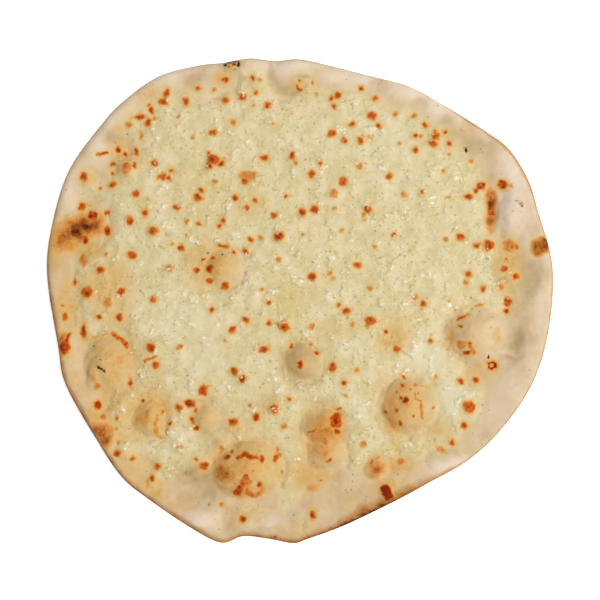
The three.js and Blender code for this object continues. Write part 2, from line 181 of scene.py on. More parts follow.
BAKED_SPOTS = [
    (167, 94, 3, 5), (164, 103, 5, 4), (152.5, 111.3, 3.3), (149.5, 105.5, 1.7), (140, 118, 6.5, 3),
    (148.5, 123, 3, 4), (126, 154.5, 2.3), (114.5, 165, 2.8), (127, 166, 4), (135.5, 166, 2.5, 4),
    (113, 173.5, 2), (113, 185, 3.4), (85.5, 177.5, 3.6, 5.5), (137.5, 152, 2.6, 5), (137, 195, 3.6),
    (155, 163.8, 3.4), (163, 177, 5, 3), (169, 178, 3, 1.8), (172.7, 171, 2.2), (198, 198, 4),
    (202.5, 191, 2.6), (177, 208.3, 3.4), (130.5, 221, 4.8), (214, 133, 4.4, 3.2), (186.7, 102, 3.5, 5),
    (198.5, 89, 3.2), (82.3, 207, 4), (107, 213.3, 2.8), (146, 214, 3, 4), (199, 224, 3.2, 2.3),
    (225.4, 80.6, 4.8, 3.3), (252.6, 80, 2.5, 3.5), (257.3, 93.4, 3, 2.4), (242.5, 97.8, 3.7, 4),
    (225.2, 101.2, 3.4, 3.8), (268, 106, 4), (300, 82.7, 2.2, 1.6), (331.5, 99.5, 2.6), (337.5, 96.5, 4),
    (334, 107, 3.1), (360.5, 89, 2.6), (375.4, 99.8, 3.2), (352.2, 125.5, 3.2), (371.3, 117, 5, 4),
    (378.8, 126.5, 3.2, 2.6), (332.3, 134.7, 4), (344.4, 141.5, 3.4), (360.5, 141.5, 3.5),
    (292, 156, 3.8), (320.7, 163.7, 2.8), (264.7, 158.6, 5, 3.8), (311.7, 175.3, 4.2), (343, 182, 4.6),
    (245.5, 182, 3.8), (235, 197.6, 3.1), (255.5, 201.8, 2.8), (248, 207.7, 2.4), (286, 196.8, 2.2),
    (274.8, 215.8, 3.3), (302, 213.5, 4.1), (315, 210, 4.4), (367.5, 209.8, 3.3), (424.4, 126.3, 3.4),
    (435, 136.5, 4.8, 5.5), (433.3, 145, 4.8, 3.4), (443.5, 133, 2.7), (448.8, 144, 2.9),
    (414.4, 137, 2.4), (415, 151, 3.2), (389, 176.8, 3.4), (475.8, 191, 3.3), (467.8, 196.8, 4.7, 3.3),
    (422.2, 192.3, 2.4), (393.7, 235.8, 2.4), (490.8, 212.3, 3.8), (459.5, 237.8, 4.6, 3.6),
    (476, 246, 3.2), (510, 248, 2.8), (515.5, 247.5, 2.2), (503, 269, 3.6), (515.2, 276.5, 4.2),
    (507.3, 302, 4.5), (468.3, 273.8, 3.3), (482, 288.8, 3.3), (422.7, 303.8, 3.4), (430.5, 340.8, 2.9),
    (459.2, 326.2, 2.4), (468.3, 343, 2), (460.8, 380.7, 3.6), (475.2, 380, 4), (463.8, 425, 3.5),
    (451, 441, 3.1), (154.4, 231.6, 5.6, 4.6), (132, 254.8, 5, 4.4), (181.8, 248.2, 3.5),
    (101.3, 270.4, 4.8, 3.4), (75.6, 283, 2.8, 3.6), (122, 291.6, 4.7, 4.1), (154.4, 299.8, 3.1),
    (211.5, 309.7, 3.4), (65.8, 316.7, 3.6, 4.8), (100, 316.7, 3.4), (120, 317.4, 4.5), (119, 338.5, 2.6),
    (126, 344.5, 2.6), (151.4, 347, 5), (155.6, 365.4, 3.8), (203.6, 390.4, 5, 6), (118, 417.7, 2.1),
    (133.6, 457.6, 3.2), (142.8, 401, 2.7), (131.2, 382.5, 2.2, 5), (179.3, 407.6, 3.5),
    (196.7, 410.3, 2.3, 3.2), (192.6, 420.2, 2.6, 4), (196.7, 427.8, 2.9), (163, 411, 2), (170, 423, 2),
    (157.7, 466.5, 3.3), (152.8, 477.3, 3.2), (196.8, 458.2, 2.4), (204, 465.9, 4.4, 5.2),
    (234, 251.6, 2.4), (245.6, 252.4, 3.2), (213.3, 258, 3.2, 2.2), (203.3, 259.8, 3.2, 2.2),
    (196.8, 270.4, 3.2), (210, 280.7, 4.2), (225.6, 285.6, 4.2), (223.9, 221, 2.7, 4),
    (220.6, 225.9, 2.7), (251, 240, 2.9), (357.8, 265.1, 3.7), (312, 277, 4.4), (268.8, 302, 3.1),
    (246.5, 319.8, 3.7), (232.5, 329.9, 4.1), (269.5, 323.4, 3.3), (284.5, 327.2, 5.2, 4.6),
    (338.4, 305.2, 2.4), (345.7, 311, 4.5, 3.7), (369.5, 320.7, 6.3, 4.6), (317, 353, 2.6),
    (332.3, 367, 4.3, 5.1), (234.8, 371.2, 4.6, 3.7), (396.8, 349, 4.4), (385.5, 331.6, 2.5),
    (263.9, 348.9, 6, 3.5), (291.2, 346.4, 2.8), (274, 408.6, 5.5, 5), (233.2, 421.9, 4.8),
    (289.6, 398.7, 2.4), (344, 382.4, 3.1), (88.3, 292, 6.8), (468, 406, 6.8), (488.2, 245.3, 5.4),
    (232.2, 451, 2.2), (246.3, 451.8, 3.2, 2.6), (261.6, 457.2, 3.3, 4.8), (275.6, 457.6, 3.5, 4.3),
    (259.7, 483.2, 3.2), (254, 469, 1.5), (336.8, 431.8, 3.4), (396, 391, 1.4), (399, 397, 2.2),
    (409, 388, 1.4), (417, 392, 1.4), (228.5, 456, 5, 2.6), (330, 457.9, 2.9), (385.4, 411.4, 2.8),
    (395.5, 409.3, 2.4), (412, 414.3, 2.1), (400, 422.1, 2.8), (403, 376.6, 2.5), (402, 385.7, 2.2),
    (243.1, 518, 3.3), (321.6, 480.8, 1.6),
]
BURNT_SPOTS = [
    (118.8, 149.5, 3.2, 4.2), (214, 160.3, 5.6), (210, 167.5, 3.4), (221.5, 164.4, 3.2),
    (208.8, 154.6, 2.2), (93, 215.6, 5.2, 6), (480.7, 186.2, 4.8), (501.5, 185.2, 5, 4.6),
    (505.8, 310.5, 3.2), (465.9, 352.2, 4, 3.2), (488, 245, 2.5), (467, 407, 3), (88, 292, 3),
    (85.6, 239.6, 3.6, 5), (98, 405.2, 4.6), (117.9, 452.4, 4, 3.5), (256.4, 416.1, 4.2), (210, 269, 4.2),
    (278.9, 237.3, 4.6, 3.8), (335.6, 420, 6.6, 8.4), (404.4, 399.4, 4), (243.2, 378.5, 3.6, 4.2),
    (190, 402.6, 6, 3.8), (300.5, 364, 3, 4.8), (312.9, 513.8, 3.4, 4.8), (84, 331.5, 3.2, 7.4),
    (108, 230.6, 3.2, 5.6), (65.4, 347.5, 6.4, 7.6),
]
# Baked streaks: both ends and half width on the plan, tone
STREAKS = [
    (100, 155.2, 107, 153.8, 1.8, 0.85), (456.5, 319, 466.6, 315, 1.8, 0.65),
    (476, 306, 481, 305.5, 1.5, 0.55), (157.7, 356.3, 145.3, 361.3, 1.8, 0.65),
    (220, 246, 227, 247.2, 2, 0.75), (247, 475.5, 242, 484, 4, 0.72), (240.5, 486, 237.5, 491.5, 4, 0.9),
    (249.5, 479, 247, 488, 3.2, 0.5), (247.5, 491, 253, 494.5, 3.8, 0.55),
    (253, 494.5, 260, 492.5, 3.8, 0.5), (260, 492.5, 262.5, 487, 3.2, 0.42),
    (337, 408.5, 341, 408.5, 1.6, 0.7), (297.5, 86.5, 301, 91, 1.8, 0.78),
    (308.3, 432.6, 316, 427.6, 2, 0.6), (314.5, 429, 316.5, 424.5, 1.5, 0.5),
    (412.2, 392.5, 415, 398.5, 1.7, 0.5), (415, 398.5, 419.5, 400.5, 1.8, 0.5),
    (420, 401, 420.3, 417.5, 2.2, 0.5), (369.5, 464, 372.5, 459.5, 2, 0.6),
    (372.5, 459.5, 379, 457, 1.6, 0.45), (158.5, 414, 155.5, 421, 2.4, 0.38),
    (155.5, 421, 156.5, 430, 2.8, 0.45), (156.5, 430, 161, 438, 2.6, 0.4),
    (501.5, 186, 511, 186.5, 2, 0.4), (92, 337.5, 101, 335.5, 1.6, 0.3),
    (101, 335.5, 113, 333, 1.8, 0.36), (113, 333, 121, 339, 2.4, 0.55), (121, 339, 127, 347, 2.6, 0.66),
    (68.4, 341.5, 71, 333.5, 1.9, 1), (63, 343.5, 69, 339, 1.8, 0.9),
    (384.9, 487.8, 387.4, 494.6, 4.9, 1.45), (84, 205.6, 91, 205, 1.2, 0.45),
    (239, 456, 246, 452, 2.8, 0.85), (246, 452, 250, 456, 3, 0.85), (250, 456, 257, 455, 2.6, 0.75),
    (224, 449, 220.5, 453, 1.6, 0.4), (276, 449.5, 279.5, 455, 1.1, 0.8),
    (281, 470, 281.5, 474, 1.4, 0.35), (154.5, 398, 166, 409.5, 1.6, 0.26),
    (131.5, 379, 131, 386, 1.6, 0.6), (131, 386, 134, 394, 1.2, 0.25), (489, 363.5, 492, 362, 1.2, 1.4),
    (492, 362, 495, 363.5, 1.2, 1.5), (495, 363.5, 495, 367, 1.5, 1.6), (495, 367, 492, 368.6, 1.2, 1.4),
    (492, 368.6, 489, 367.2, 1.2, 1.4), (489, 367.2, 489, 363.5, 1.2, 1.4),
    (468, 346, 472, 352.5, 3, 0.5), (419, 430, 433, 435, 0.9, 0.2), (433, 435, 449, 434.5, 1, 0.22),
    (449, 434.5, 462, 426, 1, 0.24), (408, 453, 420, 451, 1.2, 0.25), (434, 445, 447, 453, 1.4, 0.25),
]
PALE_TONE = 0.5
BAKED_TONE = 0.86
BURNT_TONE = 1
MARK_RIM = 0.45  # share of the tone on a mark's own outline
MARK_RIM_TONE = 0.64  # tone near the outline to that in the middle
MARK_FADE = 1.7  # width of a mark's soft edge, in mm
MARK_HALO = 3.5  # how far out of a mark its tan halo ends, in mm
HALO_SHARE = 0.22  # tone of the halo to the mark's own

PATCH_FOOT = 1.2  # where a soft patch ends, to its half widths
# Soft toasted and charred patches, some of them painted shade: place and half widths on the plan, tone
# Rows on bubbles' left flanks, the big bubble's upper arc and the right groove are painted shade
TOASTED_AND_SHADED = [
    (86, 226, 24, 18, 0.9), (76, 231, 23, 20, 0.88), (95, 225, 18, 15, 0.74), (65, 238, 21, 22, 0.68),
    (58, 246, 16, 20, 0.44), (63, 344, 13, 20, 0.66), (490.5, 204, 8, 24, 0.85),
    (490.5, 216, 8, 26, 0.74), (233, 68, 11, 9, 0.36), (535, 248, 9, 9, 0.8), (541, 247, 12, 11, 0.95),
    (544, 245, 11, 11, 1.05), (538, 251, 10, 8, 0.72), (104, 436, 16, 19, 0.85), (97, 433, 14, 16, 0.78),
    (225, 473, 15, 14, 0.7), (243, 464, 32, 28, 0.4), (375.5, 469, 14, 13, 0.68),
    (313, 486.5, 10, 9, 0.5), (318, 488, 16, 6, 0.25), (400, 402, 28, 30, 0.36), (392, 406, 16, 28, 0.42),
    (394, 424, 16, 20, 0.42), (300, 362, 22, 23, 0.24), (207, 418, 17, 16, 0.25),
    (119.5, 359.5, 9, 8, 0.45), (287, 91.5, 15, 4, 0.2), (222, 80, 18, 12, 0.35), (449, 338, 8, 24, 0.36),
    (146, 417, 15, 17, 0.46), (95, 378, 8, 15, 0.42), (240, 458, 12, 8, 0.4), (148, 482, 6, 14, 0.36),
    (240, 446, 18, 8, 0.3), (262, 444, 22, 7, 0.28), (228, 456, 10, 12, 0.35), (325, 430, 26, 26, 0.58),
    (322, 450, 19, 17, 0.5), (216, 267, 22, 22, 0.36), (110, 363, 30, 32, 0.18), (160, 404, 12, 10, 0.35),
    (120, 150, 11, 12, 0.42), (127, 168, 12, 11, 0.4), (90, 180, 11, 11, 0.3), (108, 230, 8, 12, 0.4),
    (336, 424, 10, 18, 0.5), (243, 487, 22, 18, 0.48), (222, 458, 18, 15, 0.4), (254, 490, 12, 10, 0.35),
    (398, 332, 14, 12, 0.25), (130, 221, 8, 8, 0.3), (128, 158, 16, 16, 0.3), (420, 485, 24, 5, 0.3),
    (125, 478, 6, 26, 0.3), (128, 486, 10, 16, 0.45), (152, 503, 18, 8, 0.4), (115, 293, 17, 15, 0.22),
    (100, 316, 5, 5, 0.3), (403, 388, 14, 10, 0.42), (120, 130, 14, 6, 0.25), (471, 349, 8, 8, 0.4),
    (475, 381, 16, 6, 0.25), (508, 248, 9, 9, 0.3), (508, 306, 7, 9, 0.35),
]
CHARRED_AND_SHADED = [
    # The soft row in the groove by the right rim is painted shade
    (226, 66.5, 3.4, 3, 0.75), (230, 64, 4, 2.8, 0.95), (235, 62.5, 4.5, 2.6, 1),
    (239, 65.5, 2.6, 4.5, 1), (234.5, 66, 4, 2.6, 0.8), (229.5, 69, 2.6, 2.4, 0.55),
    (235, 71, 3.5, 2, 0.36), (465.7, 150.5, 1.8, 3.8, 1), (463.5, 148, 1.6, 1.4, 0.6),
    (519, 203.6, 4, 4.6, 0.62), (490.2, 202.5, 3, 9, 0.42), (520.6, 206.8, 2.2, 3.2, 0.62),
    (514.6, 202, 4, 2.2, 0.6), (487.5, 356.5, 1.5, 3.5, 0.7), (100.5, 367.2, 2.6, 1.7, 0.9),
    (103, 368.3, 2.6, 1.8, 1), (105.5, 370, 2.4, 2, 1), (107, 371.5, 1.6, 1.6, 0.7),
    (102.2, 359, 1.8, 1.8, 0.6), (495.5, 364, 2, 3.4, 0.5), (94.7, 346.4, 2.5, 2, 0.5),
    (128, 134.5, 1.8, 1.8, 0.6), (97.5, 155.5, 1.6, 1.6, 0.7), (116, 143, 2, 2, 0.6),
    (186, 472.5, 2.2, 2, 0.5), (209.5, 504, 2, 2, 0.5), (294, 514, 1.6, 1.6, 0.6),
    (275, 535, 2, 1.5, 0.6), (208.3, 253, 2, 1.8, 0.7), (222.5, 254.8, 1.6, 1.6, 0.7),
    (356, 521, 8, 4, 0.7), (366, 516.5, 8, 4, 0.9), (375, 512, 8, 4, 0.8), (379, 503.5, 4, 1.5, 0.5),
    (389, 404, 2, 2, 0.3),
]
# Pale floury dough and grey-olive hollows, both partly painted: place and half widths on the plan, strength
# Some rows are painted light: they lighten slopes and dents that face away from the key lamp
FLOURED_AND_LIT = [
    (440, 112, 46, 20, 1), (512, 172, 20, 42, 1), (345, 80, 36, 14, 1), (205, 517, 30, 16, 0.9),
    (250, 514, 16, 18, 0.5), (480, 328, 26, 24, 0.5), (100, 145, 14, 22, 0.6), (72, 190, 14, 24, 0.6),
    (524, 214, 14, 34, 0.6), (285, 70, 28, 14, 0.9), (174, 80, 32, 14, 1), (500, 400, 36, 38, 0.3),
    (255, 66, 24, 10, 0.8), (440, 465, 36, 14, 1), (75, 370, 14, 28, 0.5), (540, 310, 12, 40, 0.2),
    (385, 88, 30, 10, 0.5), (262, 70, 30, 10, 1), (272, 520, 18, 14, 0.7), (510, 207, 22, 34, 1),
    (482, 128, 20, 16, 1), (362, 84, 30, 14, 1), (412, 94, 24, 10, 1), (432, 105, 22, 10, 0.9),
    (300, 68, 30, 10, 0.8), (112, 120, 18, 14, 0.7),
]
# Grey-olive dough, partly painted shade in dents, creases, the groove and on bubbles' shaded flanks
DULL_AND_SHADED = [
    (191, 81, 13, 10, 0.7), (233, 67, 11, 9, 1), (115, 139, 12, 10, 0.6), (378, 86, 13, 11, 0.6),
    (418, 105, 11, 8, 0.35), (460, 139, 24, 20, 0.25), (447, 121, 12, 8, 0.45), (471, 145, 14, 12, 0.4),
    (57, 250, 15, 20, 0.8), (490, 214, 9, 30, 0.5), (389, 414, 13, 28, 1), (204, 262, 15, 18, 0.5),
    (270, 402, 20, 16, 0.25), (508, 280, 16, 26, 0.5), (527, 277, 14, 26, 0.5), (511, 346, 12, 12, 0.45),
    (193, 476, 26, 22, 0.85), (212, 495, 18, 16, 0.5), (260, 532, 42, 6, 0.25), (295, 90, 8, 8, 0.4),
    (217, 447, 9, 12, 0.5), (386, 405, 10, 24, 0.45), (447, 338, 8, 24, 0.45), (299, 362, 23, 24, 1.2),
    (206, 440, 11, 11, 0.45), (518, 343, 5, 16, 0.75), (508, 357, 15, 3.4, 0.75), (330, 520, 30, 8, 0.3),
    (302, 78, 5, 10, 0.3), (272, 76, 5, 14, 0.4), (287, 92, 15, 6, 1), (304, 78.5, 11, 2.6, 0.8),
    (516, 205, 16, 24, 0.15), (306, 384, 16, 10, 0.5), (318, 400, 12, 8, 0.4),
]
# Tan film about the bubbles and along the rim, and cheese too thin to have a form of its own, in the same way
TAN = [
    (246, 466, 46, 40, 1.1), (404, 404, 36, 40, 0.8), (468, 336, 30, 34, 0.5), (323, 432, 31, 40, 1.1),
    (303, 362, 25, 25, 0.7), (210, 264, 34, 32, 1), (112, 362, 36, 36, 1.2), (150, 410, 32, 36, 1.1),
    (204, 416, 28, 26, 0.6), (310, 472, 34, 24, 0.9), (240, 512, 40, 20, 0.4), (58, 258, 18, 36, 0.45),
    (66, 308, 20, 38, 0.9), (108, 292, 34, 46, 0.8), (90, 250, 22, 18, 1), (122, 412, 52, 42, 0.75),
    (148, 492, 28, 20, 1), (240, 430, 26, 16, 0.6), (480, 370, 20, 18, 0.6), (508, 266, 18, 36, 0.9),
    (390, 488, 30, 20, 1), (270, 402, 22, 18, 0.4), (76, 380, 18, 44, 0.55), (64, 360, 16, 24, 0.7),
    (94, 426, 26, 34, 1.1), (132, 474, 34, 30, 0.6), (172, 505, 40, 18, 0.4), (330, 330, 22, 18, 0.4),
    (120, 312, 24, 24, 0.5), (392, 466, 36, 16, 0.9), (340, 500, 46, 22, 0.35), (230, 520, 24, 18, 0.35),
    (125, 160, 24, 26, 0.5), (85, 228, 30, 26, 0.5), (393, 338, 24, 20, 0.9), (495, 336, 8, 11, 0.8),
    (440, 430, 22, 18, 0.5), (250, 205, 26, 22, 0.4), (300, 90, 30, 12, 0.3), (470, 130, 24, 14, 0.5),
    (150, 96, 22, 12, 0.4), (300, 532, 44, 14, 0.55), (402, 492, 40, 14, 0.55),
]
THIN_CHEESE = [
    (250, 513, 20, 18, 0.9), (304, 522, 8, 14, 0.8), (288, 498, 14, 16, 0.9), (207, 418, 14, 14, 0.7),
    (223, 268, 20, 20, 0.5), (110, 363, 26, 28, 0.55), (150, 419, 18, 18, 0.4), (326, 451, 18, 17, 0.5),
    (322, 425, 20, 18, 0.4), (303, 362, 18, 18, 0.3), (270, 470, 14, 20, 0.35), (390, 470, 14, 8, 0.5),
    (486, 328, 22, 22, 0.45),
]
# Wet lumps of the cheese that catch the light, and yellower cheese: place and half widths, strength if not 1
WET = [
    (237, 235, 8, 6), (252, 257, 9, 5), (274, 257, 8, 4), (240, 287, 6, 9), (246, 282, 8, 5),
    (255, 294, 8, 5), (273, 291, 8, 5), (335, 238, 8, 6), (328, 301, 7, 6), (316, 267, 7, 4),
    (261, 313, 7, 5), (348, 344, 10, 7), (274, 377, 8, 6), (164, 113, 8, 6), (163, 190, 9, 8),
    (416, 346, 8, 8), (413, 442, 8, 8), (455, 176, 9, 7), (119, 410, 9, 9), (352, 443, 8, 8),
    (357, 461, 7, 6), (300, 459, 7, 6), (178, 440, 8, 12), (133, 352, 6, 8), (147, 138, 6, 6),
    (447, 311, 8, 6), (502, 301, 7, 7), (430, 203, 14, 14), (405, 215, 14, 10), (398, 357, 8, 5),
    (455, 416, 6, 8), (466, 395, 8, 6), (479, 392, 5, 8), (386, 277, 10, 8), (428, 275, 10, 8),
    (383, 168, 6, 5), (480, 255, 8, 8), (165, 296, 8, 6), (193, 300, 8, 6), (260, 358, 6, 5),
    (170, 470, 8, 6), (353, 190, 5, 8), (280, 388, 8, 8), (358, 415, 8, 10), (405, 372, 6, 5),
]
YELLOW = [
    (118, 282, 16, 20), (110, 365, 26, 26), (204, 190, 28, 44, 0.8), (395, 334, 18, 16),
    (405, 320, 20, 8), (250, 180, 18, 12), (128, 455, 10, 8), (290, 300, 26, 30), (500, 262, 10, 20),
    (108, 285, 10, 18), (345, 130, 20, 10), (140, 205, 16, 10), (300, 345, 14, 12), (415, 318, 12, 8),
    (350, 330, 14, 10), (210, 380, 14, 10), (330, 480, 16, 10), (430, 450, 24, 12), (395, 445, 12, 10),
]
# Smooth white cheese: place and half widths, strength
MILKY = [
    (425, 355, 34, 32, 1), (450, 398, 20, 26, 1), (188, 318, 34, 30, 0.6), (205, 362, 32, 24, 0.6),
    (375, 135, 60, 44, 0.4), (415, 165, 34, 40, 0.35), (472, 438, 26, 18, 0.5), (448, 455, 24, 14, 0.5),
    (360, 345, 24, 20, 0.3), (355, 405, 18, 22, 0.4), (500, 300, 8, 10, 0.5), (180, 440, 14, 14, 0.4),
]

# Outer edge brown and painted shade: bearing from the middle in degrees, tone, and how far in it goes in mm
EDGE_BROWN_AND_SHADE = [
    (0, 0.5, 1.9), (20, 0.45, 2), (29, 0.6, 2.6), (47, 0.55, 2.2), (55, 0.12, 1.5), (80, 0.1, 1.5),
    (90, 0.36, 1.5), (110, 0.2, 1.5), (120, 0.15, 1.2), (135, 0.5, 1.2), (150, 0.4, 1.3), (165, 0.55, 2),
    (180, 0.9, 2.3), (195, 0.75, 2.6), (210, 0.9, 3), (225, 0.95, 2.3), (240, 0.88, 3), (255, 0.85, 3),
    (270, 1, 3), (276, 1, 3.2), (281, 1.1, 4.2), (287, 1.15, 6), (291, 1.15, 6), (296, 0.95, 5.2),
    (301, 0.85, 4.6), (308, 0.6, 3), (316, 0.42, 2), (330, 0.34, 2), (345, 0.46, 1.9),
]
EDGE_FALL_POWER = 1.5
EDGE_LINE = 0.45  # dark of the thin line along the whole edge, partly charred and partly painted shade
EDGE_LINE_REACH = 0.9
EDGE_LINE_LIMITS = (0.4, 1.5)


# Numbers and fields

def four_corners(share):
    """A cell's corners, and how much each counts at a share of the way across and up"""
    for right in (0, 1):
        for up in (0, 1):
            yield right, up, np.abs(1 - right - share[:, 0]) * np.abs(1 - up - share[:, 1])


def noise(points, size, seed):
    """Smooth unevenness from about -1 to 1, with bumps about that size in mm"""
    turns = np.random.default_rng(seed).uniform(0, 2 * np.pi, (NOISE_CELLS, NOISE_CELLS))
    place = points @ NOISE_TURN / size
    cell = np.floor(place).astype(int)
    within = place - cell
    ease = within ** 3 * (within * (within * 6 - 15) + 10)
    total = np.zeros(len(points))
    for right, up, weight in four_corners(ease):
        turn = turns[(cell[:, 0] + right) % NOISE_CELLS, (cell[:, 1] + up) % NOISE_CELLS]
        total += weight * ((within[:, 0] - right) * np.cos(turn) + (within[:, 1] - up) * np.sin(turn))
    return NOISE_GAIN * total


def unevenness(points, rows):
    """Noise of several sizes together"""
    return sum(height * noise(points, size, seed) for height, size, seed in rows)


def warped(points, rows):
    """Points pushed about by noise of several sizes, one after another"""
    for reach, size, seed in rows:
        push = [noise(points, size, seed), noise(points, size, seed + 1)]
        points = points + reach * np.column_stack(push)
    return points


def closed_line(points, steps):
    """A smooth closed line through points, with so many steps from each to the next"""
    here = np.array(points, dtype=float)
    last, after, beyond = (np.roll(here, turn, axis=0) for turn in (1, -1, -2))
    share = np.linspace(0, 1, steps, endpoint=False)[:, None, None]
    line = here + 0.5 * share * (
        after - last
        + share * (2 * last - 5 * here + 4 * after - beyond)
        + share ** 2 * (3 * here - last - 3 * after + beyond)
    )
    return line.transpose(1, 0, 2).reshape(-1, 2)


plan_line = closed_line(OUTLINE, SIZE_STEPS)
plan_low, plan_high = plan_line.min(axis=0), plan_line.max(axis=0)
plan_middle = (plan_low + plan_high) / 2
MM_PER_PIXEL = WIDTH / (plan_high[0] - plan_low[0])


def on_plan(pixels):
    """Pixels of the photograph as millimetres about the middle of the crust"""
    return (np.array(pixels, dtype=float) - plan_middle) * (MM_PER_PIXEL, -MM_PER_PIXEL)


def segments_inside_by(points, starts, ends):
    """How far points are inside closed lines made of segments, in mm; negative outside"""
    result = np.empty(len(points))
    along = ends - starts
    length_squared = (along ** 2).sum(axis=1)
    for first in range(0, len(points), POINTS_AT_ONCE):
        chunk = points[first:first + POINTS_AT_ONCE, None, :]
        reach = chunk - starts
        share = np.clip((reach * along).sum(axis=2) / length_squared, 0, 1)
        nearest = ((reach - share[..., None] * along) ** 2).sum(axis=2).min(axis=1)
        crosses = (starts[:, 1] > chunk[..., 1]) != (ends[:, 1] > chunk[..., 1])
        rise = np.where(along[:, 1] == 0, 1, along[:, 1])
        meets = starts[:, 0] + (chunk[..., 1] - starts[:, 1]) / rise * along[:, 0]
        inside = (crosses & (chunk[..., 0] < meets)).sum(axis=1) % 2 == 1
        result[first:first + POINTS_AT_ONCE] = np.where(inside, 1, -1) * np.sqrt(nearest)
    return result


def inside_by(points, line):
    """How far points are inside one closed line"""
    return segments_inside_by(points, line, np.roll(line, -1, axis=0))


def dome_share(points, dome):
    """Distance from a dome's middle: 0 in the middle, 1 at its foot"""
    x, y, half_x, half_y = dome[:4]
    reach = (points - on_plan((x, y))) / (half_x * MM_PER_PIXEL, half_y * MM_PER_PIXEL)
    return np.hypot(reach[:, 0], reach[:, 1])


def dome_heights(points, domes):
    total = np.zeros(len(points))
    for dome in domes:
        total += dome[4] * np.maximum(0, 1 - dome_share(points, dome) ** 2) ** BUBBLE_FLARE
    return total


def patches(points, rows):
    """Soft patches: a row's strength in its middle, fading to 0 a little outside its half widths"""
    result = np.zeros(len(points))
    for row in rows:
        strength = row[4] if len(row) > 4 else 1
        level = np.clip(1 - (dome_share(points, row) / PATCH_FOOT) ** 2, 0, 1)
        result = np.maximum(result, strength * level ** 2)
    return result


def rounded_min(a, b, blend):
    overlap = np.maximum(blend - np.abs(a - b), 0) / blend
    return np.minimum(a, b) - overlap ** 2 * blend / 4


outline = on_plan(closed_line(OUTLINE, OUTLINE_STEPS))[::-1]
cheese_edge = on_plan(closed_line(CHEESE_EDGE, CHEESE_EDGE_STEPS))
grid_axis = np.arange(-WIDTH / 2 - GRID_MARGIN, WIDTH / 2 + GRID_MARGIN, GRID_STEP)


def on_grid(line):
    """How far each point of an even grid over the crust is inside a closed line"""
    across, up = np.meshgrid(grid_axis, grid_axis, indexing="ij")
    points = np.column_stack([across.ravel(), up.ravel()])
    return inside_by(points, line).reshape(across.shape)


def read_grid(grid, points):
    """The grid's values at points, blended between its corners"""
    place = (points - grid_axis[0]) / GRID_STEP
    cell = np.clip(np.floor(place).astype(int), 0, len(grid_axis) - 2)
    corners = four_corners(place - cell)
    return sum(weight * grid[cell[:, 0] + right, cell[:, 1] + up] for right, up, weight in corners)


outline_grid = on_grid(outline)
cheese_grid = on_grid(cheese_edge)


def rim_heights(points, from_edge):
    angle = np.arctan2(points[:, 1], points[:, 0])
    across = from_edge / (RIM_WIDTH + RIM_WIDTH_SWING * np.cos(angle))
    fall = np.clip((across - RIM_FLAT) / (1 - RIM_FLAT), 0, 1)
    waves = 1 + sum(share * np.sin(lobes * angle + phase) for share, lobes, phase in RIM_WAVES)
    return RIM_RISE * waves * (1 - fall ** 2 * (3 - 2 * fall))


def dough_top(points, inset=None):
    """Height of the dough's upper face, at one inset from the outline or wherever the points are"""
    from_edge = np.maximum(0, read_grid(outline_grid, points)) if inset is None else inset
    relief = dome_heights(warped(points, BUBBLE_WARP), BARE_BUBBLES + RIM_BUBBLES + DENTS)
    relief += unevenness(points, DOUGH_RELIEF)
    body = BASE_THICKNESS + rim_heights(points, from_edge) + relief
    roll = np.sqrt(1 - (1 - np.minimum(from_edge / EDGE_ROLL, 1)) ** 2)
    return EDGE_HEIGHT + (body - EDGE_HEIGHT) * roll


def cheese_cover(points):
    """How far points are inside the cheese; negative where dough shows"""
    cover = read_grid(cheese_grid, points)
    uneven = warped(points, BUBBLE_WARP)
    for bubble in BARE_BUBBLES:
        narrow = min(bubble[2:4]) * MM_PER_PIXEL
        cover = rounded_min(cover, (dome_share(uneven, bubble) - BARE_SHARE) * narrow, CORNER_BLEND)
    return cover + unevenness(points, COVER_WAVES)


def cheese_depth(points, cover):
    """Height of the cheese over the dough; negative along its edge, inside the dough"""
    gain = 1 - np.exp(-(np.maximum(cover, 0) / CHEESE_TAPER) ** CHEESE_TAPER_POWER)
    relief = dome_heights(points, BLISTERS) + SPOT_RISE * baking(points)
    relief += unevenness(points, CHEESE_RELIEF)
    return SKIRT_SLOPE * np.minimum(cover, 0) + gain * (CHEESE_THICKNESS + relief)


def all_marks():
    """Spots and streaks alike: both ends, both half widths and tone"""
    for spots, tone in ((PALE_SPOTS, PALE_TONE), (BAKED_SPOTS, BAKED_TONE), (BURNT_SPOTS, BURNT_TONE)):
        for x, y, *half in spots:
            yield x, y, x, y, half[0], half[-1], tone
    for x0, y0, x1, y1, half, tone in STREAKS:
        yield x0, y0, x1, y1, half, half, tone


def baking(points):
    """How browned points are by spots and streaks, from 0 up"""
    uneven = warped(points, MARK_WARP)
    order = np.argsort(uneven[:, 0])
    columns = uneven[order, 0]
    result = np.zeros(len(points))
    for x0, y0, x1, y1, half_x, half_y, tone in all_marks():
        start, end = on_plan((x0, y0)), on_plan((x1, y1))
        half = MM_PER_PIXEL * np.array((half_x, half_y))
        first = np.searchsorted(columns, min(start[0], end[0]) - half[0] - MARK_HALO)
        last = np.searchsorted(columns, max(start[0], end[0]) + half[0] + MARK_HALO)
        near = order[first:last]
        reach = uneven[near] - start
        along = end - start
        share = np.clip(reach @ along / max(along @ along, 1e-9), 0, 1)
        outside = (np.hypot(*((reach - share[:, None] * along) / half).T) - 1) * half.min()
        core = np.clip(MARK_RIM - outside / MARK_FADE, 0, 1)
        core *= MARK_RIM_TONE + (1 - MARK_RIM_TONE) * np.clip(-outside / half.min(), 0, 1)
        halo = HALO_SHARE * np.clip(1 - outside / MARK_HALO, 0, 1)
        result[near] = np.maximum(result[near], tone * np.maximum(core, halo))
    return result


# Charred patches, one of them painted shade in the groove
def charring_and_shade(points):
    return patches(warped(points, CHAR_AND_SHADE_WARP), CHARRED_AND_SHADED)


def finely_marked(points):
    return np.maximum(baking(points), charring_and_shade(points)) > FINE_TONE


